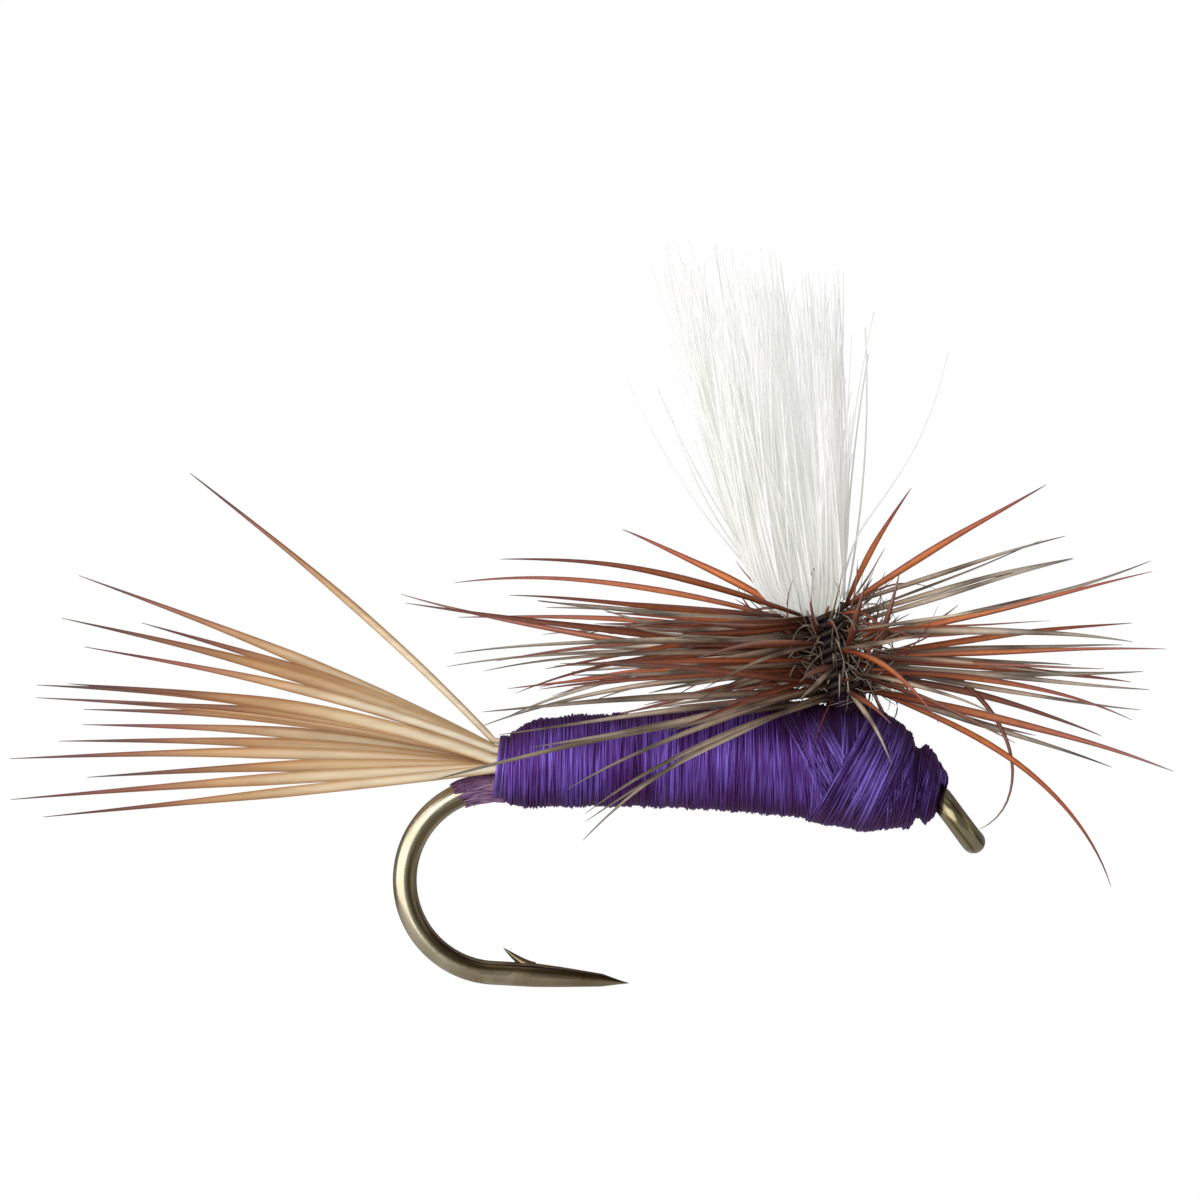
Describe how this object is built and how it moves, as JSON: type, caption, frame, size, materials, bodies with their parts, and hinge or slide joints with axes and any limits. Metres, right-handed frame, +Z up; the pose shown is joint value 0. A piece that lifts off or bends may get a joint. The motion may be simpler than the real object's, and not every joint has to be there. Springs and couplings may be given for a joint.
{
  "type": "parachute dry fly",
  "caption": "Artificial fishing fly that floats: bronze hook with a thread-wound purple body, upright white hair wing, hackle wound round the wing post and a stiff fibre tail.",
  "frame": {"origin": "centre of the hook's eye hole, on the fly's middle plane", "axes": "+X forward along the shank towards the eye, +Y to the fly's left, +Z up through the wing; the fly floats with its shank level"},
  "size_m": [0.0236, 0.0166, 0.0148],
  "materials": {
    "hook_wire": "bronzed, glossy lacquer",
    "tying_thread": "fine waxed thread",
    "body_floss": "untwisted floss with a sheen",
    "tail_fibre": "stiff feather fibre, tan with dark tips",
    "wing_hair": "translucent white hair",
    "quill": "dark feather quill",
    "brown_hackle": "glossy rust-brown feather barb",
    "grizzly_hackle": "barred grey and tan feather barb"
  },
  "bodies": {
    "root": {"hook": "hook_wire", "thread_base": "tying_thread", "tail_binding": "tying_thread", "abdomen_floss": "body_floss", "thorax_thread": "tying_thread", "head_thread": "tying_thread", "whip_finish": "tying_thread", "wing_post": "wing_hair", "wing_hair": "wing_hair", "post_wraps": "tying_thread", "brown_hackle_stem": "quill", "grizzly_hackle_stem": "quill", "tail_fibre_01": "tail_fibre", "tail_fibre_02": "tail_fibre", "tail_fibre_03": "tail_fibre", "tail_fibre_04": "tail_fibre", "tail_fibre_05": "tail_fibre", "tail_fibre_06": "tail_fibre", "tail_fibre_07": "tail_fibre", "tail_fibre_08": "tail_fibre", "tail_fibre_09": "tail_fibre", "tail_fibre_10": "tail_fibre", "tail_fibre_11": "tail_fibre", "tail_fibre_12": "tail_fibre", "tail_fibre_13": "tail_fibre", "tail_fibre_14": "tail_fibre", "tail_fibre_15": "tail_fibre", "tail_fibre_16": "tail_fibre", "brown_barbs_turn_1": "brown_hackle", "brown_barbs_turn_2": "brown_hackle", "brown_barbs_turn_3": "brown_hackle", "brown_barbs_turn_4": "brown_hackle", "brown_barbs_turn_5": "brown_hackle", "grizzly_barbs_turn_1": "grizzly_hackle", "grizzly_barbs_turn_2": "grizzly_hackle", "grizzly_barbs_turn_3": "grizzly_hackle", "grizzly_barbs_turn_4": "grizzly_hackle", "grizzly_barbs_turn_5": "grizzly_hackle"}
  },
  "joints": []
}
